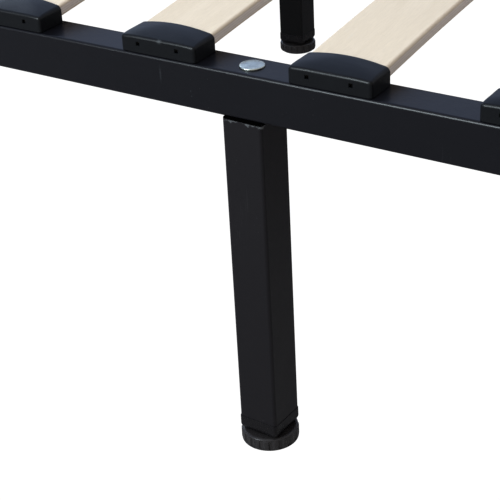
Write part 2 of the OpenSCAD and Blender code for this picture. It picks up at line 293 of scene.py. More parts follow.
def carve(shape, cutters):
    """shape with the cutters taken away, as a new shape."""
    whole = bpy.data.objects.new("carve_body", mesh_of(shape, "carve_body"))
    tools = Shape()
    for c in cutters:
        tools.put(c)
    tool = bpy.data.objects.new("carve_tool", mesh_of(tools, "carve_tool"))
    for o in (whole, tool):
        bpy.context.scene.collection.objects.link(o)
    mod = whole.modifiers.new("cut", "BOOLEAN")
    mod.operation, mod.solver, mod.object = "DIFFERENCE", "EXACT", tool
    got = whole.evaluated_get(bpy.context.evaluated_depsgraph_get()).to_mesh()
    verts = [tuple(c * 1000 for c in v.co) for v in got.vertices]
    out = Shape().add(verts, [tuple(p.vertices) for p in got.polygons])
    for o in (whole, tool):
        mesh = o.data
        bpy.data.objects.remove(o)
        bpy.data.meshes.remove(mesh)
    return out


def piece(name, shape, body, node, materials, sharp=32.0):
    """A shown piece that stands for a CAD node."""
    mesh = mesh_of(shape, name)
    for m in materials:
        mesh.materials.append(m)
    mesh.polygons.foreach_set("use_smooth", [True] * len(mesh.polygons))
    mesh.set_sharp_from_angle(angle=math.radians(sharp))
    obj = bpy.data.objects.new(name, mesh)
    bpy.context.scene.collection.objects.link(obj)
    weighted = obj.modifiers.new("flat_faces", "WEIGHTED_NORMAL")
    weighted.keep_sharp = True
    weighted.weight = 100
    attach(obj, body)
    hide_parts(node)
    return obj


# ---------- materials ----------


class Nodes:
    """A small helper to write a material's nodes in a few lines."""

    def __init__(self, name):
        self.mat = bpy.data.materials.new(name)
        self.mat.use_nodes = True
        self.tree = self.mat.node_tree
        self.shader = self.tree.nodes["Principled BSDF"]
        self.coord = self.tree.nodes.new("ShaderNodeTexCoord").outputs["Object"]

    def link(self, value, socket):
        if isinstance(value, bpy.types.NodeSocket):
            self.tree.links.new(value, socket)
        else:
            socket.default_value = value

    def mapping(self, scale, offset=(0, 0, 0)):
        n = self.tree.nodes.new("ShaderNodeMapping")
        self.link(self.coord, n.inputs["Vector"])
        n.inputs["Scale"].default_value = scale
        n.inputs["Location"].default_value = offset
        return n.outputs["Vector"]

    def noise(self, scale, vector=None, detail=2.0, rough=0.5, distortion=0.0):
        n = self.tree.nodes.new("ShaderNodeTexNoise")
        self.link(vector or self.coord, n.inputs["Vector"])
        n.inputs["Scale"].default_value = scale
        n.inputs["Detail"].default_value = detail
        n.inputs["Roughness"].default_value = rough
        n.inputs["Distortion"].default_value = distortion
        return n.outputs["Fac"]

    def voronoi(self, scale, feature="F1"):
        n = self.tree.nodes.new("ShaderNodeTexVoronoi")
        n.feature = feature
        self.link(self.coord, n.inputs["Vector"])
        n.inputs["Scale"].default_value = scale
        return n.outputs["Distance"]

    def math(self, op, a, b=0.0):
        n = self.tree.nodes.new("ShaderNodeMath")
        n.operation = op
        self.link(a, n.inputs[0])
        self.link(b, n.inputs[1])
        return n.outputs[0]

    def product(self, a, b):
        return self.math("MULTIPLY", a, b)

    def range(self, value, a, b, to0=0.0, to1=1.0):
        n = self.tree.nodes.new("ShaderNodeMapRange")
        self.link(value, n.inputs["Value"])
        for key, x in (("From Min", a), ("From Max", b), ("To Min", to0), ("To Max", to1)):
            n.inputs[key].default_value = x
        return n.outputs["Result"]

    def axes(self):
        n = self.tree.nodes.new("ShaderNodeSeparateXYZ")
        self.tree.links.new(self.coord, n.inputs[0])
        return n.outputs["X"], n.outputs["Y"], n.outputs["Z"]

    def spot(self, point, scale, r0, r1):
        """1 within r0 of a point, falling to 0 at r1, in millimetres stretched by scale."""
        offset = tuple(-p * k / 1000 for p, k in zip(point, scale))
        n = self.tree.nodes.new("ShaderNodeVectorMath")
        n.operation = "LENGTH"
        self.tree.links.new(self.mapping(scale, offset), n.inputs[0])
        return self.range(n.outputs["Value"], r0 / 1000, r1 / 1000, 1.0, 0.0)

    def mix(self, factor, a, b):
        n = self.tree.nodes.new("ShaderNodeMix")
        n.data_type = "RGBA"
        self.link(factor, n.inputs["Factor"])
        for value, socket in ((a, n.inputs["A"]), (b, n.inputs["B"])):
            self.link((*value, 1.0) if isinstance(value, tuple) else value, socket)
        return n.outputs["Result"]

    def bump(self, height, strength, distance, normal=None):
        n = self.tree.nodes.new("ShaderNodeBump")
        self.link(height, n.inputs["Height"])
        n.inputs["Strength"].default_value = strength
        n.inputs["Distance"].default_value = distance
        if normal is not None:
            self.tree.links.new(normal, n.inputs["Normal"])
        return n.outputs["Normal"]

    def finish(self, color, rough, normal=None, metal=0.0, specular=0.5):
        s = self.shader
        for value, key in ((color, "Base Color"), (rough, "Roughness"), (metal, "Metallic")):
            self.link((*value, 1.0) if isinstance(value, tuple) else value, s.inputs[key])
        s.inputs["Specular IOR Level"].default_value = specular
        if normal is not None:
            self.tree.links.new(normal, s.inputs["Normal"])
        return self.mat


KNOCKS = (  # on the left rail's outer face, with each one's stretch and radii
    ((-61.0, -BED_W / 2, UNDER + 20.0), (1.0, 1.0, 0.12), 0.1, 0.9),
    ((-38.0, -BED_W / 2, UNDER + 12.5), (1.0, 1.0, 0.6), 0.2, 0.6),
    ((-37.6, -BED_W / 2, UNDER + 9.0), (1.0, 1.0, 0.8), 0.2, 0.5),
)
WORN_CAP = (-61.0, -BED_W / 2 + CAP_INSET + 0.6, TOP + 10.3)


def powder_coat(name, dark, light, chips=False, knocks=False):
    """Satin black powder coat: fine orange peel, dust specks and faint rubs."""
    n = Nodes(name)
    peel = n.noise(850.0, detail=3.0, rough=0.55)
    coarse = n.noise(160.0, detail=2.0)
    normal = n.bump(peel, 0.22, 0.00012, n.bump(coarse, 0.18, 0.00035))
    cloud = n.noise(9.0, detail=4.0, rough=0.6)
    specks = n.range(n.voronoi(260.0), 0.045, 0.075, 1.0, 0.0)
    gate = n.range(n.noise(24.0, detail=1.0), 0.56, 0.62)
    specks = n.product(specks, gate)
    rub_lines = n.noise(60.0, n.mapping((14.0, 14.0, 0.55)), detail=3.0, rough=0.7)
    rub_area = n.noise(13.0, n.mapping((1.0, 1.0, 1.0), (0.31, 0.2, 0.4)), detail=2.0)
    rubs = n.product(n.range(rub_lines, 0.60, 0.72), n.range(rub_area, 0.60, 0.70))
    color = n.mix(cloud, dark, light)
    color = n.mix(n.product(rubs, 0.30), color, (0.070, 0.070, 0.070))
    color = n.mix(n.product(specks, 0.5), color, (0.13, 0.13, 0.13))
    if knocks:
        flecks = n.range(n.noise(700.0, detail=3.0), 0.35, 0.6, 0.4, 1.0)
        for knock in KNOCKS:
            color = n.mix(n.product(n.spot(*knock), flecks), color, (0.032, 0.035, 0.040))
    rough = n.math("ADD", n.range(cloud, 0.3, 0.7, 0.28, 0.34), n.product(rubs, 0.15))
    if chips:
        z, top = n.axes()[2], LEG_TOP / 1000
        edge = n.range(z, top - 0.0030, top - 0.0008)
        wear = n.mapping((1.0, 1.0, 0.8), (0.0, 0.0, 0.13))
        flakes = n.noise(150.0, wear, detail=5.0, rough=0.75)
        bare = n.range(n.math("ADD", flakes, n.product(edge, 0.16)), 0.63, 0.69)
        bare = n.product(bare, n.range(z, top - 0.0030, top - 0.0018))
        bare = n.product(bare, n.range(z, top - 0.00038, top - 0.00022, 1.0, 0.0))
        color = n.mix(bare, color, (0.115, 0.12, 0.125))
        normal = n.bump(bare, 0.5, -0.00015, normal)
    return n.finish(color, rough, normal, specular=0.38)


def moulded_plastic(name, color, rough, grain=1400.0, specular=0.38, worn_at=None):
    """Moulded plastic with a fine spark-eroded grain and slight flow marks."""
    n = Nodes(name)
    fine = n.noise(grain, detail=2.0, rough=0.6)
    flow = n.noise(45.0, n.mapping((1.0, 3.0, 1.0)), detail=4.0, rough=0.65)
    normal = n.bump(fine, 0.25, 0.0001, n.bump(flow, 0.12, 0.0004))
    scuff = n.noise(220.0, n.mapping((2.4, 0.4, 1.0)), detail=4.0, rough=0.7)
    tone = n.mix(flow, tuple(c * 0.82 for c in color), tuple(c * 1.2 for c in color))
    tone = n.mix(n.range(scuff, 0.66, 0.76, 0.0, 0.30), tone, (0.035, 0.04, 0.045))
    if worn_at:
        worn = n.spot(worn_at, (0.8, 1.0, 1.0), 0.6, 1.9)
        worn = n.product(worn, n.range(fine, 0.4, 0.6, 0.3, 1.0))
        tone = n.mix(worn, tone, (0.075, 0.082, 0.088))
    rough = n.range(flow, 0.3, 0.7, rough - 0.05, rough + 0.06)
    return n.finish(tone, rough, normal, specular=specular)


def zinc_plate(name):
    """Bright zinc plating, a little mottled and bluish."""
    n = Nodes(name)
    mottle = n.noise(330.0, detail=4.0, rough=0.65)
    grain = n.noise(2600.0, detail=2.0)
    dents = n.voronoi(520.0, feature="SMOOTH_F1")
    normal = n.bump(grain, 0.25, 0.00006, n.bump(dents, 0.35, 0.00022))
    color = n.mix(n.range(mottle, 0.3, 0.7), (0.47, 0.50, 0.48), (0.70, 0.75, 0.70))
    return n.finish(color, n.range(mottle, 0.3, 0.7, 0.26, 0.44), normal, metal=1.0)


def birch(name):
    """Bleached birch: fine long grain on the faces, thin plies on the edges, the edges lightened
    partly by painted light.
    """
    n = Nodes(name)
    _, y, z = n.axes()
    side = n.math("SUBTRACT", n.math("ABSOLUTE", y), SLAT_Y / 1000)
    side = n.product(side, 1000 / SLAT_HALF)
    arch = n.product(n.math("SUBTRACT", 1.0, n.product(side, side)), SLAT_RISE / 1000)
    depth = n.math("SUBTRACT", n.math("SUBTRACT", z, arch), (TOP + CAP_BASE) / 1000)
    along = n.mapping((14.0, 0.42, 14.0))
    fine = n.noise(95.0, along, detail=5.0, rough=0.62, distortion=0.15)
    along = n.mapping((4.2, 0.30, 4.2), (0.7, 0.1, 0.2))
    broad = n.noise(16.0, along, detail=4.0, rough=0.55, distortion=0.6)
    pores = n.range(n.noise(420.0, n.mapping((9.0, 0.30, 9.0)), detail=2.0), 0.63, 0.74)
    flecks = n.noise(120.0, n.mapping((3.0, 0.55, 3.0)), detail=3.0, rough=0.6)
    color = n.mix(n.range(broad, 0.30, 0.72), (0.815, 0.705, 0.560), (0.745, 0.635, 0.490))
    color = n.mix(n.range(fine, 0.35, 0.75, 0.0, 0.26), color, (0.575, 0.50, 0.405))
    color = n.mix(n.product(pores, 0.22), color, (0.42, 0.33, 0.25))
    color = n.mix(n.range(flecks, 0.62, 0.78, 0.0, 0.22), color, (0.80, 0.745, 0.66))
    ply = n.math("ADD", n.product(depth, 1000 / PLY_T), n.product(fine, 0.25))
    glue = n.math("ABSOLUTE", n.math("SUBTRACT", n.math("FRACT", ply), 0.5))
    inside = n.range(depth, 0.0014, 0.0022)
    inside = n.product(inside, n.range(depth, 0.0064, 0.0071, 1.0, 0.0))
    # the edge band is lightened: partly the plies' own paler colour, partly painted light on the
    # slat edges
    color = n.mix(n.product(inside, 0.65), color, (0.86, 0.80, 0.77))
    glue = n.product(n.range(glue, 0.36, 0.47, 0.0, 0.30), inside)
    color = n.mix(glue, color, (0.34, 0.29, 0.24))
    normal = n.bump(n.math("SUBTRACT", n.product(fine, 0.6), pores), 0.22, 0.0002)
    return n.finish(color, n.range(fine, 0.3, 0.7, 0.50, 0.62), normal, specular=0.3)


POWDER = powder_coat(
    "satin_black_powder_coat", (0.0046, 0.0047, 0.0080), (0.0062, 0.0064, 0.0100), knocks=True
)
LEG_POWDER = powder_coat(
    "satin_black_leg_coat", (0.0120, 0.0106, 0.0130), (0.0148, 0.0132, 0.0156), chips=True
)
# painted shade: the centre legs stand under the bed, so they get a much darker copy of the leg coat
SHADED_BEAM_LEG_POWDER = powder_coat(
    "satin_black_beam_leg_coat_painted_shade", (0.0030, 0.0030, 0.0036), (0.0040, 0.0040, 0.0048), chips=True
)
# painted shade: a near-black matte finish for the faces in the shaded gap between a leg's top and
# the rail, so that the gap reads black
GAP_PAINTED_SHADE = Nodes("painted_shade_gap_black").finish((0.001, 0.001, 0.001), 0.9, specular=0.02)
CAP_PLASTIC = moulded_plastic(
    "cap_plastic_black", (0.0034, 0.0046, 0.0066), 0.34, specular=0.36, worn_at=WORN_CAP
)
PLUG_PLASTIC = moulded_plastic("plug_plastic_black", (0.0108, 0.0096, 0.0112), 0.28)
FOOT_PLASTIC = moulded_plastic(
    "foot_plastic_black", (0.0340, 0.0310, 0.0320), 0.26, grain=700.0, specular=0.60
)
ZINC = zinc_plate("zinc_plated_steel")
WOOD = birch("bleached_birch")

# ---------- steel frame ----------


def rail_tube(length, along):
    """A rail tube centred on the axis, its underside on z = 0."""
    m = move(z=RAIL_H / 2) @ (
        turn(90, "Z") @ turn(90, "X") if along == "X" else turn(90, "X")
    ) @ move(z=-length / 2)
    return Shape().put(tube_shape(RAIL_W, RAIL_H, length), m)


def peg_cutters(y):
    """Cutters for the pegs' holes in a rail's top wall, their middles at y."""
    return [
        Shape().put(cylinder(PEG_R + 0.25, -3.0, 1.0, 24), move(x + s * PEG_X, y, RAIL_H))
        for x in SLAT_X
        for s in (-1, 1)
    ]


def upright_hole(x):
    """A cutter for a leg bolt's holes through a rail at x."""
    return Shape().put(cylinder(HOLE_R, -1.0, RAIL_H + 1), move(x))


def cross_hole(x, reach=RAIL_W / 2 + 1):
    """A cutter for a bolt's holes across a rail at x."""
    return Shape().put(cylinder(HOLE_R, -reach, reach), move(x, 0, RAIL_H / 2) @ turn(90, "X"))


def drilled_rail(length, y, peg_y, upright, across):
    """A rail along the bed with holes for its caps' pegs, its leg bolts and its end bolts."""
    cutters = peg_cutters(peg_y) + [upright_hole(x) for x in upright]
    cutters += [cross_hole(s * x) for x in across for s in (-1, 1)]
    return Shape().put(carve(rail_tube(length, "X"), cutters), move(0, y, UNDER))


def side_rail(side):
    peg_y = side * (RAIL_W / 2 - CAP_INSET - CAP_D / 2)
    return drilled_rail(RAIL_L, side * RAIL_Y, peg_y, (-END_LEG_X, 0.0, END_LEG_X), BRACKET_BOLTS)


def beam():
    return drilled_rail(BEAM_L, 0.0, 0.0, (-BEAM_LEG_X, BEAM_LEG_X), (BEAM_BOLT_X,))


def hanger_shape():
    """The beam's cradle: one bent plate, x from 0 at the rail inwards."""
    outer, inner, high = HANGER_OUT, HANGER_IN, RAIL_H - 6.0
    lip, fold, bend = 0.45, 0.6, 0.6 + PLATE_T
    left = arc(-outer + bend, -PLATE_T + bend, bend, 180, 270, 6)
    right = arc(outer - bend, -PLATE_T + bend, bend, 270, 360, 6)
    inner_left = arc(-inner + fold, fold, fold, 180, 270, 6)
    inner_right = arc(inner - fold, fold, fold, 270, 360, 6)
    outline = (
        [(-outer + lip, high), (-outer, high - lip)] + left + right
        + [(outer, high - lip), (outer - lip, high), (inner + lip, high), (inner, high - lip)]
        + inner_right[::-1] + inner_left[::-1]
        + [(-inner, high - lip), (-inner - lip, high)]
    )
    loops = [[(x, y, z) for y, z in outline] for x in (0.0, HANGER_L)]
    return carve(Shape().loft(loops), [cross_hole(END_IN - BEAM_BOLT_X, 30)])


def bracket_shape():
    """One corner's plate and gusset; x and y run inwards from the corner."""
    low, high = (RAIL_H - PLATE_H) / 2, (RAIL_H + PLATE_H) / 2
    plate = box(0, RAIL_W + BRACKET_L, 0, PLATE_T, low, high, 0.5)
    holes = [
        Shape().put(cross_hole(RAIL_L / 2 - x, 5), move(y=PLATE_T / 2)) for x in BRACKET_BOLTS
    ]
    s = carve(plate, holes)
    z0, z1 = RAIL_H - 8, RAIL_H - 8 + PLATE_T
    loops = []
    for c, z in ((0.4, z0), (0.0, z0 + 0.4), (0.0, z1 - 0.4), (0.4, z1)):
        g, nose = GUSSET_L - c, 2.0 - c
        gusset = [(0, 0), (g, 0), (g, nose), (nose, g), (0, g)]
        loops.append([(RAIL_W - 0.01 + x, PLATE_T - 0.01 + y, z) for x, y in gusset])
    s.loft(loops)
    x0, y1, far = RAIL_W, PLATE_T + 0.1, GUSSET_L - 2
    for z in (z0 - 0.1, z1 + 0.1):
        s.put(weld_bead([(x0 + 3, y1, z), (x0 + far, y1, z)], 0.9))
        s.put(weld_bead([(x0 - 0.1, PLATE_T + 3, z), (x0 - 0.1, PLATE_T + far, z)], 0.9))
    s.put(weld_bead([(x0 + 0.2, y1, low + 0.5), (x0 + 0.2, y1, z0 - 1.5)], 1.2))
    for z in (high - 0.2, low + 0.2):
        s.put(weld_bead([(2.0, y1, z), (x0 - 1.0, y1, z)], 1.1))
    return s


def cross_rail():
    """The rail across the foot of the bed with its brackets and cradle."""
    s = Shape()
    inner_y, bracket, x = BED_W / 2 - RAIL_W, bracket_shape(), END_IN - 0.1
    s.put(rail_tube(2 * (inner_y - PLATE_T), "Y"), move(x=END_X))
    s.put(hanger_shape(), move(x=END_IN) @ MIRROR_X)
    s.put(weld_bead([(x, -13.0, -0.6), (x, 13.0, -0.6)], 1.1))
    for k in (1, -1):
        mirror = Matrix.Diagonal((1, k, 1, 1))
        s.put(bracket, mirror @ move(RAIL_L / 2, inner_y) @ turn(180, "Z"))
        y = k * HANGER_OUT
        s.put(weld_bead([(x, y, 1.0), (x, y, RAIL_H - 7.5)], 1.25))
    return Shape().put(s, move(z=UNDER))


for side, name in SIDES:
    piece(f"coated_side_rail_{name}", side_rail(side), "frame", f"side_rail_{name}",
          [POWDER])
foot_rail = cross_rail()
head_rail = Shape().put(foot_rail, MIRROR_X)
piece("coated_foot_rail", foot_rail, "frame", "foot_rail", [POWDER])
piece("coated_head_rail", head_rail, "frame", "head_rail", [POWDER])
piece("coated_centre_beam", beam(), "frame", "centre_beam", [POWDER])

corner_bolt = bolt_shape(RAIL_W + PLATE_T + NUT_H + 2)
hanger_bolt = bolt_shape(2 * HANGER_OUT + NUT_H + 2)
nut = hex_shape(NUT_AF, NUT_H, BORE)
bolts, nuts = Shape(), Shape()
for side, s in CORNERS:
    for i, x in enumerate(BRACKET_BOLTS):
        head_y, nut_y = side * BED_W / 2, side * (BED_W / 2 - RAIL_W - PLATE_T)
        bolts.put(corner_bolt, move(s * x, head_y, MID_Z) @ turn(-side * 90, "X"))
        spin = turn(17 * i + 11 * s + 23 * side, "Z")
        nuts.put(nut, move(s * x, nut_y, MID_Z) @ turn(side * 90, "X") @ spin)
for s in (-1, 1):
    x = s * BEAM_BOLT_X
    bolts.put(hanger_bolt, move(x, -HANGER_OUT, MID_Z) @ turn(90, "X"))
    nuts.put(nut, move(x, HANGER_OUT, MID_Z) @ turn(-90, "X") @ turn(12 * s, "Z"))
piece("domed_frame_bolts", bolts, "frame", "frame_bolts", [ZINC])
piece("hexagon_frame_nuts", nuts, "frame", "frame_nuts", [ZINC])


def plug_shape():
    """A rail's end plug, its flange on z = 0 and up, its spigot below."""
    e, spigot = 1.1, 2 * WALL + 0.2
    sections = [
        (spigot + 1.6, 0.3, -12.0), (spigot, 0.75, -10.8), (spigot, 0.75, 0.0),
        (0.3, TUBE_R, 0.0), (0.0, TUBE_R, 0.15), (0.0, TUBE_R, 3.0 - e),
        (0.35 * e, TUBE_R, 3.0 - 0.45 * e), (1.1 * e, TUBE_R, 3.0 - 0.1 * e),
        (2.2 * e, TUBE_R, 3.0),
    ]
    return Shape().loft([
        [(x, y, z) for x, y in rounded_rect(RAIL_W - less, RAIL_H - less, r)]
        for less, r, z in sections
    ])


plug, plugs = plug_shape(), Shape()
for side, s in CORNERS:
    at = move(s * RAIL_L / 2, side * RAIL_Y, MID_Z)
    plugs.put(plug, at @ turn(s * 90, "Z") @ turn(90, "X"))
piece("moulded_end_plugs", plugs, "frame", "rail_end_plugs", [PLUG_PLASTIC])

# ---------- slats, caps and holders ----------


def slat_shape(side, x):
    """One arched slat, its faces bent round the arc's centre line."""
    zc = TOP + CAP_BASE + SLAT_T + SLAT_RISE - SLAT_R - SLAT_DROP
    rows, edge = 60, 0.5

    def section(angle, less):
        out = []
        for u, v in rounded_rect(SLAT_W - 2 * less, SLAT_T - 2 * less, 2.0 - less):
            r = SLAT_R - SLAT_T / 2 + v
            out.append((x + u, side * SLAT_Y - r * math.sin(angle), zc + r * math.cos(angle)))
        return out

    tip = edge / SLAT_R
    ends = [(SLAT_A - tip * 0.3, edge * 0.3), (SLAT_A, edge)]
    steps = [(-a, less) for a, less in reversed(ends)]
    steps += [((SLAT_A - tip) * (2 * k / rows - 1), 0.0) for k in range(rows + 1)]
    return Shape().loft([section(a, less) for a, less in steps + ends])


CORNER_N, ACROSS_N, UP_N = 6, 20, 2  # segments of a cap's section


def cap_section(half, z0, r0, top, r1):
    """A section across a cap, symmetric in x: foot arcs r0, shoulder arcs r1 and crown top(x)."""
    low, high = z0 + r0, top(half) - r1
    right = arc(half - r0, low, r0, -90, 0, CORNER_N)
    right += [(half, low + (high - low) * k / (UP_N + 1)) for k in range(1, UP_N + 1)]
    for x, z in arc(half - r1, -r1, r1, 0, 90, CORNER_N):
        right.append((x, top(x) + z))
    left = [(-x, z) for x, z in reversed(right)]
    shares = [1 - 2 * k / ACROSS_N for k in range(1, ACROSS_N)]
    crown = [(x, top(x)) for x in ((half - r1) * k for k in shares)]
    return right + crown + left + [((r0 - half) * k, z0) for k in shares]


def pocket_loop(t, y_start, mouth=None, grow=0.0):
    """A loop of the slat's pocket at distance t up its slope, or in the plane y = mouth."""
    gap = POCKET_GAP + grow
    half_h = SLAT_T / 2 + gap
    flat = cap_section(SLAT_W / 2 + gap, -half_h, 2.15, lambda x: half_h, 2.15)
    ca, sa = math.cos(SLAT_A), math.sin(SLAT_A)
    out = []
    for x, v in flat:
        up = SLAT_T / 2 + v
        at = t if mouth is None else (mouth - y_start + up * sa) / ca
        out.append((x, y_start + at * ca - up * sa, CAP_BASE + at * sa + up * ca))
    return out


def pocket(start):
    """The pocket's loops, from its flared mouth in."""
    return [
        pocket_loop(0, start, CAP_D, 0.25),
        pocket_loop(0, start, CAP_D - 0.3),
        pocket_loop(-END_GAP, start),
    ]


def outer_loop(y, top, inset=0.0, drop=0.0, lift=0.0, shoulder=2.7):
    """A loop of a cap's outside at y."""
    pts = cap_section(CAP_W / 2 - inset, lift, 0.5, lambda x: top(x, y) - drop, shoulder)
    return [(x, y, z) for x, z in pts]


def cap_top(x, y):
    """Height of a cap's top: crowned across, falling towards its outer face."""
    across = CROWN * (x / (CAP_W / 2)) ** 2
    along = FALL * ((CAP_D - y) / CAP_D) ** 2
    return CAP_H - (across**3 + along**3) ** (1 / 3)


def holder_top(x, y):
    return CAP_H - CROWN * (x / (CAP_W / 2)) ** 2


def mouth_rim(top):
    """Loops that round a mouth's rim, from the outside in."""
    steps = ((0.45, 0.0), (0.2, 0.06), (0.06, 0.2), (0.0, 0.42))
    return [outer_loop(CAP_D - back, top, inset, inset, inset) for back, inset in steps]


def hole_cutter(x):
    """A square hole with a flared rim, to cut into a cap's outer face."""
    loops = []
    for y, flare in ((4.75, -0.1), (0.3, 0.0), (-0.5, 0.55)):
        h = HOLE / 2 + flare
        square = ((-1, -1), (1, -1), (1, 1), (-1, 1))
        loops.append([(x + i * h, y, HOLE_Z + k * h) for i, k in square])
    return Shape().loft(loops)


def pegs(y):
    """The two pegs under a cap."""
    peg = lathe([(PEG_R - 0.7, -PEG_L), (PEG_R, -PEG_L + 0.9), (PEG_R, 0.2)], 24)
    return Shape().put(peg, move(-PEG_X, y)).put(peg, move(PEG_X, y))


def cap_shape():
    """A slat cap, outer face at y = 0 and mouth at y = CAP_D."""
    plan_r, face_r = 2.25, 1.7
    loops = []
    depths = [face_r * (1 - math.cos(math.pi / 2 * k / 5)) for k in range(6)]
    depths += [1.95, 2.25] + [2.25 + (CAP_D - 0.45 - 2.25) * k / 9 for k in range(1, 9)]
    for y in depths:
        u = max(0.0, plan_r - y)
        inset = plan_r - math.sqrt(plan_r**2 - u**2)
        w = max(0.0, face_r - y)
        drop = face_r - math.sqrt(face_r**2 - w**2)
        shoulder = 1.75 + 0.95 * min(1.0, y / 14.0)
        loops.append(outer_loop(y, cap_top, inset, drop, min(drop, 0.35), shoulder))
    loops += mouth_rim(cap_top) + pocket(CAP_WALL + END_GAP)
    solid = carve(Shape().loft(loops), [hole_cutter(x) for x in HOLE_X])
    return solid.put(pegs(CAP_D / 2))


def holder_shape():
    """The double holder on the beam, a mouth at each end."""
    near = (mouth_rim(holder_top) + pocket(SLAT_IN))[::-1]
    near += [outer_loop(y, holder_top) for y in (CAP_D - 4, CAP_D / 2)]
    far = [[(x, -y, z) for x, y, z in loop] for loop in reversed(near)]
    return Shape().loft(near + [outer_loop(0.0, holder_top)] + far).put(pegs(0.0))


for side, name in SIDES:
    for i, x in enumerate(SLAT_X, 1):
        piece(f"bent_slat_{name}_{i:02d}", slat_shape(side, x), "frame", f"slat_{name}_{i:02d}",
              [WOOD], sharp=40)
caps, holders = Shape(), Shape()
cap, holder = cap_shape(), holder_shape()
for x in SLAT_X:
    caps.put(cap, move(x, -(BED_W / 2 - CAP_INSET), TOP))
    caps.put(cap, move(x, BED_W / 2 - CAP_INSET, TOP) @ turn(180, "Z"))
    holders.put(holder, move(x, 0, TOP))
piece("moulded_slat_caps", caps, "frame", "slat_caps", [CAP_PLASTIC])
piece("moulded_slat_holders", holders, "frame", "centre_slat_holders", [CAP_PLASTIC])

# ---------- legs and feet ----------


def leg_shape():
    """A leg with its top plate and weld nut, about its own axis."""
    s = Shape().put(tube_shape(LEG, LEG, LEG_TOP - LEG_BOTTOM, edge=0.25), move(z=LEG_BOTTOM))
    w, n = LEG / 2 - WALL + 0.01, 48

    def square(half, z):
        out = []
        for x, y, _ in circle(1.0, z, n, 0.5):
            k = half * min(1 / max(abs(x), abs(y)), 1.36)
            out.append((k * x, k * y, z))
        return out

    z0, z1 = UNDER - TOP_PLATE_T, UNDER
    plate = [square(w, z0), square(w, z1 - 0.3), square(w - 0.3, z1)]
    s.loft(plate + [circle(BORE, z, n, 0.5) for z in (z1, z0)], ring=True)
    s.put(hex_shape(NUT_AF, NUT_H, BORE), move(z=z0 - NUT_H))
    seam, reach, z = LEG / 2 - WALL + 0.5, LEG / 2 - 0.6, LEG_TOP + 0.5
    for x in (-seam, seam):
        s.put(weld_bead([(x, -reach, z), (x, reach, z)], 0.62, 0.12))
    # faces in the gap under the rail (top plate, nut top, weld beads, rim top) take the second,
    # near-black material: painted shade
    for i, face in enumerate(s.f):
        points = [s.v[k] for k in face]
        in_shaded_gap = all(z > z0 - 0.1 and max(abs(x), abs(y)) < LEG / 2 - 0.3 for x, y, z in points)
        if in_shaded_gap or all(abs(z - LEG_TOP) < 0.09 for x, y, z in points):
            s.m[i] = 1
    return s


def insert_shape():
    """The plastic insert of a leg: tapered collar, spigot and threaded boss."""
    c, w = COLLAR, LEG - 2 * WALL - 0.2
    z0, z1, z2 = INSERT_Z, LEG_BOTTOM, LEG_BOTTOM + 15.0
    sections = [
        (c - 3.6, 1.6, z0), (c - 2.8, 1.9, z0 + 0.2), (c - 1.2, TUBE_R, z0 + 1.7),
        (c - 0.3, TUBE_R, z0 + 2.8), (c, TUBE_R, z0 + 3.6), (c, TUBE_R, z1 - 0.3),
        (c - 0.08, TUBE_R, z1 - 0.08), (c - 0.3, TUBE_R, z1), (w, 0.75, z1),
        (w, 0.75, z2 - 0.8), (w - 1.2, 0.75, z2), (w - 5, 1.0, z2), (w - 5, 1.0, z1 + 2),
    ]
    loops = [[(x, y, z) for x, y in rounded_rect(a, a, r, 8)] for a, r, z in sections]
    angles = [math.atan2(y, x) for x, y, _ in loops[0]]
    for r, z in (
        (8.0, z1 + 2), (8.0, z2), (BORE + 0.4, z2),
        (BORE, z2 - 0.4), (BORE, z0 + 0.4), (BORE + 0.4, z0),
    ):
        loops.append([(r * math.cos(a), r * math.sin(a), z) for a in angles])
    return Shape().loft(loops, ring=True)


def stud_shape():
    """A foot's bolt: head in the foot, hexagon over it, threaded shank above."""
    s = lathe([(7.5, 1.5), (8.0, 1.9), (8.0, 3.6), (7.6, 4.0), (3.9, 4.0)], 32)
    s.put(cylinder(BOLT_R - 0.1, 3.0, WELL_Z + 0.5, 24))
    s.put(hex_shape(NUT_AF, HEX_T), move(z=WELL_Z))
    s.put(threaded_rod(BOLT_R, WELL_Z + HEX_T - 0.2, STUD_TOP, n=24, steps=8))
    return s


def disc_shape():
    """A levelling foot: ribbed disc with a sloped rim and a well in its top, about its axis."""
    rib = (0, 0, 0, 0, 0.5, 1, 1, 1, 1, 1)
    base, lip, top = FOOT_R - RIB_H, LIP_T, RIM_Z

    def loop(r, z, depth=0.0):
        """A loop with the ribs and grooves at their full depth or a part of it."""
        out = []
        for i, (x, y, _) in enumerate(circle(1.0, z, RIBS * len(rib))):
            k = rib[i % len(rib)]
            rr = r + depth * (RIB_H * k - GROOVE * (1 - k))
            out.append((rr * x, rr * y, z))
        return out

    outside = (
        (base - 2.2, 0.0), (base - 1.7, 0.15), (base - 0.9, 0.75), (base - 0.1, 1.3),
        (base + 0.3, lip + 0.4), (base + 0.3, lip + 0.8), (base, lip + 1.0, 0.85),
        (base, lip + 1.3, 1.0), (base, top - 1.2, 1.0), (base, top - 0.9, 0.7),
        (base, top - 0.75), (base, top - 0.15), (base - 0.1, top + 0.03),
        (base - 0.4, top + 0.2), (base - 1.2, top + 0.58), (base - 1.6, top + 0.7),
        (base - 2.2, FOOT_T),
    )
    inside = (
        (WELL_R + 0.5, FOOT_T), (WELL_R + 0.12, FOOT_T - 0.15), (WELL_R, FOOT_T - 0.5),
        (WELL_R, WELL_Z), (BOLT_R + 0.3, WELL_Z), (BORE, WELL_Z - 0.3),
        (BORE, 4.0), (9.5, 4.0), (9.5, 0.5), (10.0, 0.0),
    )
    return Shape().loft([loop(*step) for step in outside + inside], ring=True)


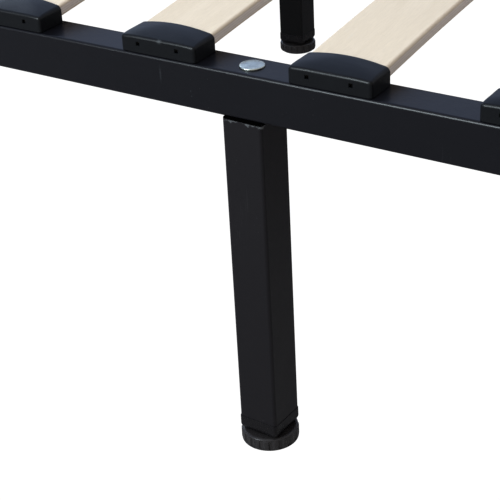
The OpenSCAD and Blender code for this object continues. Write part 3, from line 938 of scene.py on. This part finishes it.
leg, insert, stud, disc = leg_shape(), insert_shape(), stud_shape(), disc_shape()
leg_bolt = bolt_shape(RAIL_H + TOP_PLATE_T + NUT_H + 2)
groups = {"left": Shape(), "right": Shape(), "centre": Shape()}
leg_bolts, inserts = Shape(), Shape()
for k, (name, (x, y, angle)) in enumerate(LEGS.items()):
    at = move(x, y) @ turn(angle, "Z")
    groups[name.split("_")[0]].put(leg, at)
    inserts.put(insert, at)
    leg_bolts.put(leg_bolt, move(x, y, TOP) @ turn(47 * k, "Z"))
    piece(f"zinc_stud_{name}", Shape().put(stud, move(x, y)), f"stud_{name}", f"foot_stud_{name}",
          [ZINC])
    piece(f"ribbed_disc_{name}", Shape().put(disc, move(x, y)), f"foot_{name}", f"foot_disc_{name}",
          [FOOT_PLASTIC])
for name, shape in groups.items():
    # the centre legs take the darker copy of the coat: painted shade
    coat = SHADED_BEAM_LEG_POWDER if name == "centre" else LEG_POWDER
    piece(f"square_legs_{name}", shape, "frame", f"legs_{name}",
          [coat, GAP_PAINTED_SHADE])
piece("domed_leg_bolts", leg_bolts, "frame", "leg_bolts", [ZINC])
piece("tapered_leg_inserts", inserts, "frame", "leg_inserts", [PLUG_PLASTIC])

# ---------- floor, light and camera, in metres ----------

FLOOR_Z, FLOOR_HALF = -0.0126, 30.0  # the feet reach down to it at the end of their travel
GLOW = (-0.66, 0.56, 0.50)
DIM, BRIGHT = (0.62, 0.57, 0.51), (0.58, 0.69, 0.95)
LENS, DISTANCE, AIM = 102.392, 0.95142, (-0.0090, -0.656, 0.15067)
AZIMUTH, ELEVATION, ROLL = (math.radians(a) for a in (-34.095, -29.366, -3.153))


def white_to_camera(tree, shader, kind, output):
    """The camera sees an even white, and all else sees the shader."""
    nodes, links = tree.nodes, tree.links
    white, path, choose = (nodes.new("ShaderNode" + k) for k in (kind, "LightPath", "MixShader"))
    white.inputs["Color"].default_value = (1.0, 1.0, 1.0, 1.0)
    white.inputs["Strength"].default_value = 1.05
    links.new(path.outputs["Is Camera Ray"], choose.inputs["Fac"])
    links.new(shader.outputs[0], choose.inputs[1])
    links.new(white.outputs[0], choose.inputs[2])
    links.new(choose.outputs["Shader"], nodes[output].inputs["Surface"])


def floor():
    """A pale floor that looks evenly white to the camera and is lit like any floor otherwise."""
    n = Nodes("pale_floor")
    tone = n.noise(1.1, detail=2.0)
    n.finish(n.mix(tone, (0.37, 0.355, 0.345), (0.40, 0.385, 0.375)), 0.8, specular=0.1)
    white_to_camera(n.tree, n.shader, "Emission", "Material Output")
    mesh = bpy.data.meshes.new("floor")
    r, z = FLOOR_HALF, FLOOR_Z
    mesh.from_pydata([(-r, -r, z), (r, -r, z), (r, r, z), (-r, r, z)], [], [(0, 1, 2, 3)])
    mesh.materials.append(n.mat)
    obj = bpy.data.objects.new("floor", mesh)
    bpy.context.scene.collection.objects.link(obj)


def soft_light(name, direction, distance, size, watts, color):
    """An area light aimed at the near rail."""
    data = bpy.data.lights.new(name, "AREA")
    data.shape, data.size, data.size_y = "RECTANGLE", *size
    data.energy, data.color = watts, color
    obj = bpy.data.objects.new(name, data)
    back = Vector(direction).normalized()
    obj.location = Vector((0.0, -0.66, 0.2)) + back * distance
    obj.rotation_mode = "QUATERNION"
    obj.rotation_quaternion = back.to_track_quat("Z", "Y")
    bpy.context.scene.collection.objects.link(obj)


def soft_world():
    """A dim room with a broad cool glow from one side, brightest low on that side."""
    world = bpy.data.worlds.new("studio")
    world.use_nodes = True
    nodes, links = world.node_tree.nodes, world.node_tree.links

    toward, half, squared, mix = (
        nodes.new("ShaderNode" + kind) for kind in ("VectorMath", "Math", "Math", "Mix")
    )
    toward.operation, half.operation, squared.operation = "DOT_PRODUCT", "MULTIPLY_ADD", "POWER"
    mix.data_type = "RGBA"
    links.new(nodes.new("ShaderNodeTexCoord").outputs["Generated"], toward.inputs[0])
    toward.inputs[1].default_value = GLOW
    links.new(toward.outputs["Value"], half.inputs[0])
    half.inputs[1].default_value = half.inputs[2].default_value = 0.5
    links.new(half.outputs[0], squared.inputs[0])
    squared.inputs[1].default_value = 2.0
    links.new(squared.outputs[0], mix.inputs["Factor"])
    mix.inputs["A"].default_value = (*DIM, 1.0)
    mix.inputs["B"].default_value = (*BRIGHT, 1.0)
    links.new(mix.outputs["Result"], nodes["Background"].inputs["Color"])
    white_to_camera(world.node_tree, nodes["Background"], "Background", "World Output")
    return world


floor()
soft_light("window", (-0.33, -0.82, 0.54), 2.6, (1.1, 1.2), 66.0, (0.86, 0.96, 1.0))
soft_light("ceiling", (-0.10, -0.20, 1.0), 2.6, (2.0, 2.0), 4.0, (1.0, 0.93, 0.79))
soft_light("side", (-0.82, 0.40, 0.42), 3.0, (1.4, 1.0), 7.0, (0.80, 0.90, 1.0))

scene = bpy.context.scene
scene.world = soft_world()
scene.view_settings.view_transform = "Standard"
scene.view_settings.gamma = 0.8

camera = bpy.data.cameras.new("camera")
camera.sensor_width = 36.0
camera.lens = LENS
scene.camera = bpy.data.objects.new("camera", camera)
scene.collection.objects.link(scene.camera)
level = math.cos(ELEVATION)
forward = Vector((math.sin(AZIMUTH) * level, math.cos(AZIMUTH) * level, math.sin(ELEVATION)))
look = (-forward).to_track_quat("Z", "Y").to_matrix().to_4x4()
at = Matrix.Translation(Vector(AIM) - forward * DISTANCE)
scene.camera.matrix_world = at @ look @ Matrix.Rotation(ROLL, 4, "Z")
